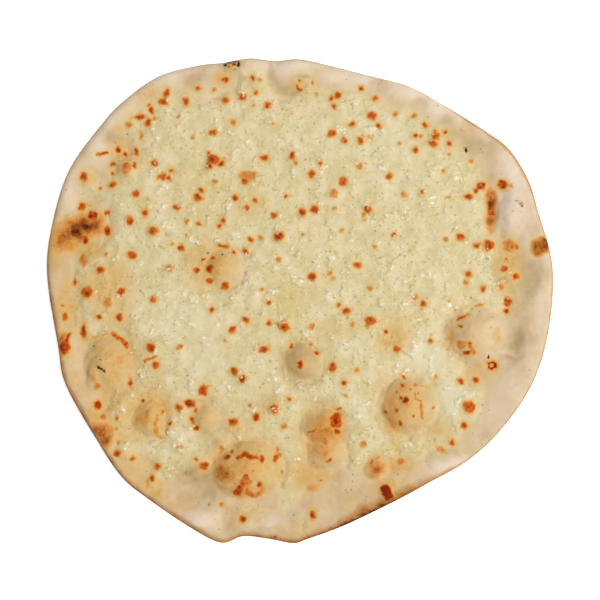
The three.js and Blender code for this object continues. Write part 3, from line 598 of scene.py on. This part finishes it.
def edge_brown_and_shade(points, heights):
    """Brown and painted shade of the outer edge, strongest from its widest line down"""
    bearing = np.degrees(np.arctan2(points[:, 1], points[:, 0]))
    bearings, tones, reaches = zip(*EDGE_BROWN_AND_SHADE)
    tone = np.interp(bearing, bearings, tones, period=360)
    reach = np.interp(bearing, bearings, reaches, period=360) * (1 + unevenness(points, EDGE_WAVES))
    from_edge = np.maximum(read_grid(outline_grid, points), 0)
    from_edge[(heights < EDGE_HEIGHT + LEVEL_SLACK) & (from_edge < FOOT_INSET + GRID_STEP)] = 0
    return tone * np.exp(-(from_edge / reach) ** EDGE_FALL_POWER)


def edge_line(points):
    """Dark of the thin line along the widest part of the edge, partly charred and partly painted shade"""
    uneven = np.clip(1 + unevenness(points, EDGE_LINE_WAVES), *EDGE_LINE_LIMITS)
    return EDGE_LINE * uneven * np.exp(-np.abs(read_grid(outline_grid, points)) / EDGE_LINE_REACH)


def surface_fields(points):
    """Numbers at points in mm that the materials read"""
    plan = points[:, :2]
    soft = warped(plan, PATCH_WARP)
    return {
        "cover": cheese_cover(plan),
        "thin": patches(soft, THIN_CHEESE),
        "tan": patches(soft, TAN),
        "bake": baking(plan),
        "toast_and_shade": patches(soft, TOASTED_AND_SHADED),
        "edge": edge_brown_and_shade(plan, points[:, 2]),
        "char_and_shade": np.maximum(charring_and_shade(plan), edge_line(plan)),
        "flour_and_light": patches(soft, FLOURED_AND_LIT),
        "dull_and_shade": patches(soft, DULL_AND_SHADED),
        "wet": patches(warped(plan, WET_WARP), WET),
        "yellow": patches(soft, YELLOW),
        "milky": patches(soft, MILKY),
    }


# Nets of points

def lattice(step, steps_at=None):
    """Even points over the crust's box; steps_at(points) says how many steps apart to keep them"""
    reach = int(WIDTH / math.sqrt(3) / step) + HIDDEN_STEPS
    row, column = np.mgrid[-reach:reach + 1, -2 * reach:2 * reach + 1]
    places = np.column_stack([row.ravel(), column.ravel()])
    points = step * np.column_stack([places[:, 1] + places[:, 0] / 2, places[:, 0] * math.sqrt(3) / 2])
    inside = np.abs(points).max(axis=1) < WIDTH / 2
    points, places = points[inside], places[inside]
    if steps_at is not None:
        steps = steps_at(points)
        kept = (steps > 0) & (places % np.maximum(steps, 1)[:, None] == 0).all(axis=1)
        points = points[kept]
    jitter = np.random.default_rng(LATTICE_SEED).uniform(-1, 1, points.shape)
    return points + LATTICE_JITTER * step * jitter


def triangles_over(points, edges=()):
    """Delaunay triangles over points, counter-clockwise rows of corners"""
    corners = [Vector(point) for point in points.tolist()]
    faces = delaunay_2d_cdt(corners, edges, [], 0, 1e-6, False)[2]
    return np.array([face[:3] for face in faces])


def even_line(line, step):
    """Points round a closed line at an even step"""
    closed = np.vstack([line, line[:1]])
    travelled = np.concatenate([[0], np.cumsum(np.hypot(*np.diff(closed, axis=0).T))])
    places = np.linspace(0, travelled[-1], round(travelled[-1] / step), endpoint=False)
    return np.column_stack([np.interp(places, travelled, closed[:, axis]) for axis in (0, 1)])


def edges_of(triangles):
    """Directed edges, as pairs of corners"""
    return np.concatenate([triangles[:, [0, 1]], triangles[:, [1, 2]], triangles[:, [2, 0]]])


def border_edges(triangles):
    """Directed edges that only one triangle has"""
    edges = edges_of(triangles).tolist()
    known = set(map(tuple, edges))
    return np.array([(a, b) for a, b in edges if (b, a) not in known])


def inner_edges(triangles):
    """Edges that two triangles share, lower corner first"""
    edges, counts = np.unique(np.sort(edges_of(triangles), axis=1), axis=0, return_counts=True)
    return set(map(tuple, edges[counts == 2].tolist()))


def band(lower, upper):
    """Triangles between two rings of corners"""
    lower_next, upper_next = np.roll(lower, -1), np.roll(upper, -1)
    return np.vstack([
        np.column_stack([lower, lower_next, upper_next]),
        np.column_stack([lower, upper_next, upper]),
    ])


def faces_within(points, corners, border):
    """Triangles over some of the points, kept where they lie inside a closed line"""
    triangles = triangles_over(points[corners, :2])
    middles = points[corners, :2][triangles].mean(axis=1)
    return corners[triangles[inside_by(middles, border) > SLIVER]]


def placed(name, data):
    """A new object in the scene"""
    made = bpy.data.objects.new(name, data)
    bpy.context.scene.collection.objects.link(made)
    return made


def piece(name, points, triangles, material):
    """A smooth mesh object from points in mm, with the fields that its material reads"""
    mesh = bpy.data.meshes.new(name)
    mesh.from_pydata((points * MM).tolist(), [], triangles.tolist())
    mesh.shade_smooth()
    for field, values in surface_fields(points).items():
        mesh.attributes.new(field, "FLOAT", "POINT").data.foreach_set("value", values)
    mesh.materials.append(material)
    return placed(name, mesh)


# Crust

def inset_outline(ring, inset):
    along = np.roll(ring, -1, axis=0) - np.roll(ring, 1, axis=0)
    along /= np.hypot(*along.T)[:, None]
    return ring + inset * np.column_stack([-along[:, 1], along[:, 0]])


def crust_piece():
    ring = even_line(outline, 2 * CRUST_STEP)
    rings = []
    for turn in np.radians(FOOT_TURNS):
        line = inset_outline(ring, FOOT_INSET * (1 - math.cos(turn)))
        rings.append(np.column_stack([line, np.full(len(line), EDGE_HEIGHT * (1 - math.sin(turn)))]))
    for turn in np.radians(ROLL_TURNS):
        inset = EDGE_ROLL * (1 - math.cos(turn))
        line = inset_outline(ring, inset)
        rings.append(np.column_stack([line, dough_top(line, inset)]))

    def steps_at(points):
        shown = cheese_cover(points) < SHOWN_COVER
        return np.where(shown, np.where(finely_marked(points), 1, 2), HIDDEN_STEPS)

    top = lattice(CRUST_STEP, steps_at)
    top = top[read_grid(outline_grid, top) > inset + CRUST_STEP]
    foot = lattice(HIDDEN_STEPS * CRUST_STEP)
    foot = foot[read_grid(outline_grid, foot) > FOOT_INSET + HIDDEN_STEPS * CRUST_STEP / 2]

    count = len(ring)
    first_top = count * len(rings)
    first_foot = first_top + len(top)
    points = np.vstack([
        *rings,
        np.column_stack([top, dough_top(top)]),
        np.column_stack([foot, np.zeros(len(foot))]),
    ])
    levels = [np.arange(count) + count * level for level in range(len(rings))]
    top_corners = np.r_[levels[-1], first_top:first_foot]
    foot_corners = np.r_[levels[0], first_foot:len(points)]
    triangles = np.vstack([
        *(band(lower, upper) for lower, upper in zip(levels, levels[1:])),
        faces_within(points, top_corners, rings[-1][:, :2]),
        faces_within(points, foot_corners, rings[0][:, :2])[:, ::-1],
    ])
    return piece("crust_surface", points, triangles, dough_material())


# Cheese

def on_cheese_edge(points):
    """Points moved onto the cheese's hidden edge down the slope of its cover"""
    moved = points.copy()
    for _ in range(EDGE_ROUNDS):
        cover = cheese_cover(moved)
        shifts = ((SLOPE_STEP, 0), (0, SLOPE_STEP))
        slope = np.column_stack([(cheese_cover(moved + shift) - cover) / SLOPE_STEP for shift in shifts])
        excess = (cover + CHEESE_SKIRT) / np.maximum((slope ** 2).sum(axis=1), LEAST_SLOPE)
        moved -= excess[:, None] * slope
    return moved


def without_pinches(triangles):
    """Triangles left when those at a corner where the edge touches itself are dropped"""
    while True:
        starts, counts = np.unique(border_edges(triangles)[:, 0], return_counts=True)
        pinched = starts[counts > 1]
        if len(pinched) == 0:
            return triangles
        triangles = triangles[~np.isin(triangles, pinched).any(axis=1)]


def without_twins(points):
    """Points left when those that nearly meet an earlier one are dropped"""
    for shift in (0, 0.5):
        cells = np.floor(points / CLOSEST + shift)
        points = points[np.sort(np.unique(cells, axis=0, return_index=True)[1])]
    return points


def cheese_net():
    """Points and triangles of the cheese's upper face on the plan"""
    def steps_at(points):
        cover = cheese_cover(points)
        fine = finely_marked(points) | (cover < CHEESE_SKIRT)
        return np.where(cover > -CHEESE_SKIRT - CHEESE_STEP, np.where(fine, 1, 2), 0)

    net = lattice(CHEESE_STEP, steps_at)
    near = np.abs(cheese_cover(net) + CHEESE_SKIRT) < CHEESE_STEP
    net[near] = on_cheese_edge(net[near])
    net = without_twins(net[near | (cheese_cover(net) > -CHEESE_SKIRT)])
    triangles = triangles_over(net)
    corners = net[triangles]
    longest = np.hypot(*(corners - np.roll(corners, 1, axis=1)).transpose(2, 0, 1)).max(axis=1)
    covered = cheese_cover(corners.mean(axis=1)) > -CHEESE_SKIRT
    triangles = without_pinches(triangles[covered & (longest < LONGEST_STEPS * CHEESE_STEP)])
    used = np.unique(triangles)
    return net[used], np.searchsorted(used, triangles)


def cheese_piece():
    net, triangles = cheese_net()

    # The underside shares the upper face's edge and is coarse inside
    edges = border_edges(triangles)
    edge_corners = np.unique(edges)
    starts, ends = net[edges[:, 0]], net[edges[:, 1]]
    under = lattice(HIDDEN_STEPS * CHEESE_STEP)
    under = under[segments_inside_by(under, starts, ends) > HIDDEN_STEPS * CHEESE_STEP / 2]
    upper_edges = inner_edges(triangles)
    while True:
        under_plan = np.vstack([net[edge_corners], under])
        below = triangles_over(under_plan, np.searchsorted(edge_corners, edges).tolist())
        below = below[segments_inside_by(under_plan[below].mean(axis=1), starts, ends) > 0]
        numbers = np.concatenate([edge_corners, len(net) + np.arange(len(under))])
        touching = sorted(upper_edges & inner_edges(numbers[below]))
        if not touching:
            break
        under = np.vstack([under, net[np.array(touching)].mean(axis=1)])

    points = np.vstack([
        np.column_stack([net, dough_top(net) + cheese_depth(net, cheese_cover(net))]),
        np.column_stack([under, dough_top(under) - CHEESE_LIP]),
    ])
    triangles = np.vstack([triangles, numbers[below][:, ::-1]])
    return piece("cheese_surface", points, triangles, cheese_material())


# Materials

# How bright the light makes a level surface, and how much light that mirrors: they turn a colour that
# the photograph shows into the colour of the surface itself
LIGHT_LEVEL = 1.16
SHEEN = 0.012


def seen(red, green, blue):
    """The surface colour that looks like an sRGB colour of the photograph under this light"""
    def linear(value):
        share = value / 255
        return share / 12.92 if share <= 0.04045 else ((share + 0.055) / 1.055) ** 2.4
    return (*(max(linear(value) - SHEEN, 0) / LIGHT_LEVEL for value in (red, green, blue)), 1)


# Floury dough colour, partly painted light
FLOUR_AND_LIGHT = seen(235, 216, 196)
DUST = seen(236, 220, 198)
OILY_DOUGH = seen(220, 194, 142)
YELLOW_CHEESE = seen(213, 191, 122)
MILK = seen(227, 219, 186)
DARK_FLECK = seen(196, 180, 112)
PALE_FLECK = seen(238, 227, 196)
TAN_FILM = seen(218, 175, 102)
PALE_FILM = seen(222, 200, 148)
TAN_MOTTLE = seen(194, 148, 86)
# Grey-olive dough colour, partly painted shade
DULL_AND_SHADED_DOUGH = seen(184, 158, 112)
SMUDGE = seen(168, 156, 100)
SPECK = seen(150, 134, 96)
# Charred colour, also laid as painted shade along the edge line and in the groove
CHAR_AND_SHADE = seen(84, 48, 16)
# Painted highlight colour
GLINT = seen(248, 240, 222)
UNDERSIDE = seen(222, 198, 160)
UNDERSIDE_SPOT = seen(140, 82, 38)

# Ramps of colour: place along the ramp and the sRGB colour seen there
DOUGH_STOPS = [(0.35, 205, 179, 143), (0.5, 217, 193, 158), (0.65, 226, 205, 174)]
CHEESE_STOPS = [(0.3, 213, 196, 146), (0.5, 222, 206, 161), (0.7, 231, 217, 182)]
TOAST_AND_SHADE_STOPS = [
    (0, 226, 203, 166), (0.25, 226, 183, 117), (0.5, 215, 150, 80), (0.75, 170, 96, 42), (1, 100, 44, 14),
]
BAKE_STOPS = [
    (0, 224, 200, 146), (0.2, 220, 178, 108), (0.4, 212, 142, 72), (0.6, 203, 104, 42),
    (0.8, 182, 76, 18), (1, 138, 50, 6),
]
# The edge ramp's low greyish stops are painted shade of the rolled edge
EDGE_BROWN_AND_SHADE_STOPS = [
    (0, 216, 190, 154), (0.2, 203, 174, 138), (0.36, 200, 156, 106), (0.54, 192, 136, 80),
    (0.72, 166, 108, 58), (0.9, 130, 80, 40), (1, 88, 50, 22),
]

# Noise: size of its bumps in mm, detail, roughness
DOUGH_CLOUDS = (18, 4, 0.6)
CHEESE_CLOUDS = (10, 4, 0.6)
COVER_CLOUDS = (7, 4, 0.6)
# Patterns of such noise: its three numbers, then the range read and what that becomes
DUSTY = (1.6, 4, 0.65, 0.5, 0.75, 0, 0.3)
DARK_FLECKS = (3.6, 3, 0.6, 0.3, 0.42, 0.7, 0)
PALE_FLECKS = (3.6, 3, 0.6, 0.56, 0.72, 0, 0.6)
UNEVEN = (6, 3, 0.5, 0.25, 0.75, 0.6, 1.3)
FILMY = (5, 4, 0.65, 0.45, 0.7, 0, 0.35)
MOTTLED = (3.2, 4, 0.7, 0.5, 0.7, 0, 0.5)
CLOUDED = (5, 5, 0.7, 0.28, 0.72, 0.74, 1.22)
SMUDGED = (2.3, 1, 0.5, 0.22, 0.36, 0.75, 0)
SPECKED = (9, 2, 0.5, 0.4, 0.65, 0, 0.7)
RAGGED = (2.4, 3, 0.5, 0.25, 0.75, 0.74, 1.22)
FRECKLES = (4.4, 3, 0.5, 0.6, 0.75, 0, 0.24)
FRECKLED = (20, 2, 0.5, 0.35, 0.6, 0, 1)
SHINY = (8, 2, 0.5, 0.5, 0.72, 0, 0.8)
# Painted glints: whitish highlights laid into wet cheese
PAINTED_GLINTS = (2.8, 2, 0.6, 0.545, 0.65, 0, 0.9)
LEOPARD = (16, 4, 0.6, 0.48, 0.66, 0, 1)
# Ranges over which looks come in, and what these become where that isn't 0 to 1
OIL_SHOWS = (-10, 0, 0, 0.45)
CHEESE_SHOWS = (-5, 7)
TOAST_AND_SHADE_SHOWS = (0, 0.42)
EDGE_SHOWS = (0.02, 0.3)
BAKE_SHOWS = (0.02, 0.24)
CHAR_AND_SHADE_SHOWS = (0.1, 0.7)
GLINT_SHOWS = (0.2, 0.7)
SPECK_SHOWS = (0.05, 0.2, 1, 0)
UNDERSIDE_SHOWS = (0.2 * MM, 1.6 * MM, 1, 0)
# Finest relief: size of its bumps in mm, detail, roughness, height in mm
WET_LUMPS = (5, 2, 0.45, 1.5)
SOFT_LUMPS = (6, 2, 0.5, 0.3)
GRAIN = (1.4, 3, 0.5, 0.05)
WRINKLES = (3, 4, 0.6, 0.5)

SPECK_SPACING = 5  # in mm
SPECULAR = 0.15
COVER_WANDER = 7  # how far the cheese's colour strays from its edge, in mm
YELLOW_SHARE = 0.65
MILKY_SHARE = 0.9
TOAST_AND_SHADE_HIDES = 0.35  # how much toasted ground and the shade painted with it hide lighter browning on them
DRY_ROUGHNESS = 0.82
CHEESE_GLOSS = 0.24
WET_GLOSS = 0.42


class Material:
    """A procedural material: adds nodes, joins them and lays colours over each other"""

    def __init__(self, name):
        self.material = bpy.data.materials.new(name)
        self.material.use_nodes = True
        self.tree = self.material.node_tree
        self.shader = self.tree.nodes["Principled BSDF"]
        self.shader.inputs["Specular IOR Level"].default_value = SPECULAR
        self.place = self.add("ShaderNodeTexCoord").outputs["Object"]
        self.colour = None

    def join(self, value, socket):
        if isinstance(value, bpy.types.NodeSocket):
            self.tree.links.new(value, socket)
        else:
            socket.default_value = value

    def add(self, kind, inputs=(), **settings):
        node = self.tree.nodes.new(kind)
        for name, value in settings.items():
            setattr(node, name, value)
        for socket, value in dict(inputs).items():
            self.join(value, node.inputs[socket])
        return node

    def field(self, name):
        return self.add("ShaderNodeAttribute", attribute_name=name).outputs["Fac"]

    def noise(self, size, detail, roughness):
        inputs = {"Vector": self.place, "Scale": 1 / (size * MM), "Detail": detail, "Roughness": roughness}
        return self.add("ShaderNodeTexNoise", inputs).outputs["Fac"]

    def cells(self, size):
        inputs = {"Vector": self.place, "Scale": 1 / (size * MM)}
        return self.add("ShaderNodeTexVoronoi", inputs).outputs["Distance"]

    def math(self, operation, *values):
        node = self.add("ShaderNodeMath", operation=operation)
        for value, socket in zip(values, node.inputs):
            self.join(value, socket)
        return node.outputs[0]

    def times(self, a, b):
        return self.math("MULTIPLY", a, b)

    def plus(self, base, value, factor=1):
        return self.math("MULTIPLY_ADD", value, factor, base)

    def between(self, value, low, high, to_low=0, to_high=1):
        """A value's place from low to high, smoothed and kept within the new range"""
        inputs = {"Value": value, "From Min": low, "From Max": high, "To Min": to_low, "To Max": to_high}
        return self.add("ShaderNodeMapRange", inputs, interpolation_type="SMOOTHSTEP").outputs[0]

    def pattern(self, row):
        return self.between(self.noise(*row[:3]), *row[3:])

    def mix(self, share, a, b):
        node = self.add("ShaderNodeMix", data_type="RGBA")
        for value, socket in ((share, 0), (a, 6), (b, 7)):
            self.join(value, node.inputs[socket])
        return node.outputs[2]

    def ramp(self, value, stops):
        node = self.add("ShaderNodeValToRGB", {"Fac": value})
        elements = node.color_ramp.elements
        for element, (position, *shown) in zip(elements, (stops[0], stops[-1])):
            element.position = position
            element.color = seen(*shown)
        for position, *shown in stops[1:-1]:
            elements.new(position).color = seen(*shown)
        return node.outputs["Color"]

    def lay(self, share, colour):
        """A colour over those laid before"""
        self.colour = self.mix(share, self.colour, colour)

    def bump(self, height):
        inputs = {"Height": height, "Strength": 1, "Distance": MM}
        return self.add("ShaderNodeBump", inputs).outputs["Normal"]

    def finish(self, roughness, normal):
        looks = {"Base Color": self.colour, "Roughness": roughness, "Normal": normal}
        for name, value in looks.items():
            self.join(value, self.shader.inputs[name])
        return self.material


class PizzaMaterial(Material):
    """Dough and cheese with one upper face, so that one runs into the other"""

    def dough_colour(self, cover):
        self.colour = self.ramp(self.noise(*DOUGH_CLOUDS), DOUGH_STOPS)
        # Floury dough, partly painted light
        self.lay(self.field("flour_and_light"), FLOUR_AND_LIGHT)
        self.lay(self.pattern(DUSTY), DUST)
        self.lay(self.between(cover, *OIL_SHOWS), OILY_DOUGH)
        return self.colour

    def cheese_colour(self):
        self.colour = self.ramp(self.noise(*CHEESE_CLOUDS), CHEESE_STOPS)
        self.lay(self.times(self.field("yellow"), YELLOW_SHARE), YELLOW_CHEESE)
        self.lay(self.pattern(DARK_FLECKS), DARK_FLECK)
        self.lay(self.times(self.field("milky"), MILKY_SHARE), MILK)
        self.lay(self.pattern(PALE_FLECKS), PALE_FLECK)
        return self.colour

    def upper_face(self):
        """Lays the colours, and gives roughness and normal"""
        wander = self.plus(-COVER_WANDER, self.noise(*COVER_CLOUDS), 2 * COVER_WANDER)
        cover = self.plus(self.field("cover"), wander)
        cheesy = self.math("MAXIMUM", self.between(cover, *CHEESE_SHOWS), self.field("thin"))
        self.colour = self.mix(cheesy, self.dough_colour(cover), self.cheese_colour())

        uneven = self.pattern(UNEVEN)
        tan = self.times(self.field("tan"), uneven)
        self.lay(tan, TAN_FILM)
        self.lay(self.times(self.pattern(FILMY), tan), PALE_FILM)
        self.lay(self.times(self.pattern(MOTTLED), tan), TAN_MOTTLE)
        # Grey-olive dough, partly painted shade in hollows and on shaded flanks
        self.lay(self.times(self.field("dull_and_shade"), uneven), DULL_AND_SHADED_DOUGH)
        # Toasted patches, partly painted shade on shaded slopes
        clouded = self.pattern(CLOUDED)
        toast_and_shade = self.times(self.field("toast_and_shade"), clouded)
        self.lay(self.between(toast_and_shade, *TOAST_AND_SHADE_SHOWS), self.ramp(toast_and_shade, TOAST_AND_SHADE_STOPS))
        # Brown of the outer edge, partly painted shade
        edge = self.times(self.field("edge"), clouded)
        edged = self.plus(edge, toast_and_shade, -TOAST_AND_SHADE_HIDES)
        self.lay(self.between(edged, *EDGE_SHOWS), self.ramp(edge, EDGE_BROWN_AND_SHADE_STOPS))
        clear = self.math("SUBTRACT", cheesy, self.field("milky"))
        self.lay(self.times(self.pattern(SMUDGED), clear), SMUDGE)
        specks = self.between(self.cells(SPECK_SPACING), *SPECK_SHOWS)
        self.lay(self.times(specks, self.pattern(SPECKED)), SPECK)
        freckles = self.times(self.pattern(FRECKLES), self.times(self.pattern(FRECKLED), cheesy))
        bake = self.plus(freckles, self.field("bake"), self.pattern(RAGGED))
        marked = self.plus(bake, self.math("MAXIMUM", toast_and_shade, edge), -TOAST_AND_SHADE_HIDES)
        self.lay(self.between(marked, *BAKE_SHOWS), self.ramp(bake, BAKE_STOPS))
        # Charred marks, with painted shade along the edge line and in the groove
        self.lay(self.between(self.times(self.field("char_and_shade"), uneven), *CHAR_AND_SHADE_SHOWS), CHAR_AND_SHADE)

        wet = self.times(self.math("MAXIMUM", self.field("wet"), self.pattern(SHINY)), cheesy)
        # Painted highlights: whitish glints laid into the colour of wet cheese
        self.lay(self.times(self.pattern(PAINTED_GLINTS), self.between(wet, *GLINT_SHOWS)), GLINT)
        roughness = self.plus(self.plus(DRY_ROUGHNESS, cheesy, -CHEESE_GLOSS), wet, -WET_GLOSS)
        height = 0
        reliefs = ((WET_LUMPS, wet), (SOFT_LUMPS, cheesy), (GRAIN, 1), (WRINKLES, tan))
        for (*bumps, rise), share in reliefs:
            height = self.plus(height, self.times(self.noise(*bumps), share), rise)
        return roughness, self.bump(height)

    def lay_underside(self):
        height = self.add("ShaderNodeSeparateXYZ", {"Vector": self.place}).outputs["Z"]
        under = self.between(height, *UNDERSIDE_SHOWS)
        self.lay(under, self.mix(self.pattern(LEOPARD), UNDERSIDE, UNDERSIDE_SPOT))


def dough_material():
    material = PizzaMaterial("baked_dough")
    looks = material.upper_face()
    material.lay_underside()
    return material.finish(*looks)


def cheese_material():
    material = PizzaMaterial("melted_cheese")
    return material.finish(*material.upper_face())


crust = crust_piece()
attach(crust, "root")
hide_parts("crust")

cheese = cheese_piece()
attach(cheese, "root")
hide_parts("cheese")


# Floor, light and camera, in metres

FLOOR_HALF = 3
FLOOR_LOOK = {
    "Base Color": (0.9, 0.9, 0.9, 1), "Roughness": 0.9,
    "Emission Color": (1, 1, 1, 1), "Emission Strength": 0.6,
}
AIR_LOOK = {"Color": (1, 0.98, 0.91, 1), "Strength": 0.42}
# Lamps that face the pizza: name, place, size, power, colour
LAMPS = [
    ("key", (2, -0.6, 3.2), 1, 86, (1, 0.98, 0.95)),
    ("lamp", (0.3, 0.25, 1.25), 0.12, 4.5, (1, 1, 1)),
]
LENS = 85
SENSOR = 36
LOOK_HEIGHT = 3  # level at which the photograph's pixels are true to size, in mm


def set_inputs(node, looks):
    for name, value in looks.items():
        node.inputs[name].default_value = value


def floor_piece():
    mesh = bpy.data.meshes.new("floor")
    corners = [(x * FLOOR_HALF, y * FLOOR_HALF, 0) for x, y in ((-1, -1), (1, -1), (1, 1), (-1, 1))]
    mesh.from_pydata(corners, [], [(0, 1, 2, 3)])
    material = bpy.data.materials.new("pale_floor")
    material.use_nodes = True
    set_inputs(material.node_tree.nodes["Principled BSDF"], FLOOR_LOOK)
    mesh.materials.append(material)
    floor = placed("floor", mesh)


def area_light(name, place, size, power, colour):
    light = bpy.data.lights.new(name, "AREA")
    light.size = size
    light.energy = power
    light.color = colour
    lamp = placed(name, light)
    lamp.location = place
    lamp.rotation_euler = (-Vector(place)).to_track_quat("-Z", "Y").to_euler()


def studio():
    floor_piece()
    world = bpy.data.worlds.new("studio")
    world.use_nodes = True
    set_inputs(world.node_tree.nodes["Background"], AIR_LOOK)
    bpy.context.scene.world = world
    for lamp in LAMPS:
        area_light(*lamp)
    bpy.context.scene.view_settings.view_transform = "Standard"


def camera():
    lens = bpy.data.cameras.new("camera")
    lens.lens = LENS
    lens.sensor_width = SENSOR
    eye = placed("camera", lens)
    across = PHOTO_PIXELS * MM_PER_PIXEL
    x, y = on_plan(PHOTO_MIDDLE)
    eye.location = (x * MM, y * MM, (LOOK_HEIGHT + across * LENS / SENSOR) * MM)
    bpy.context.scene.camera = eye


studio()
camera()
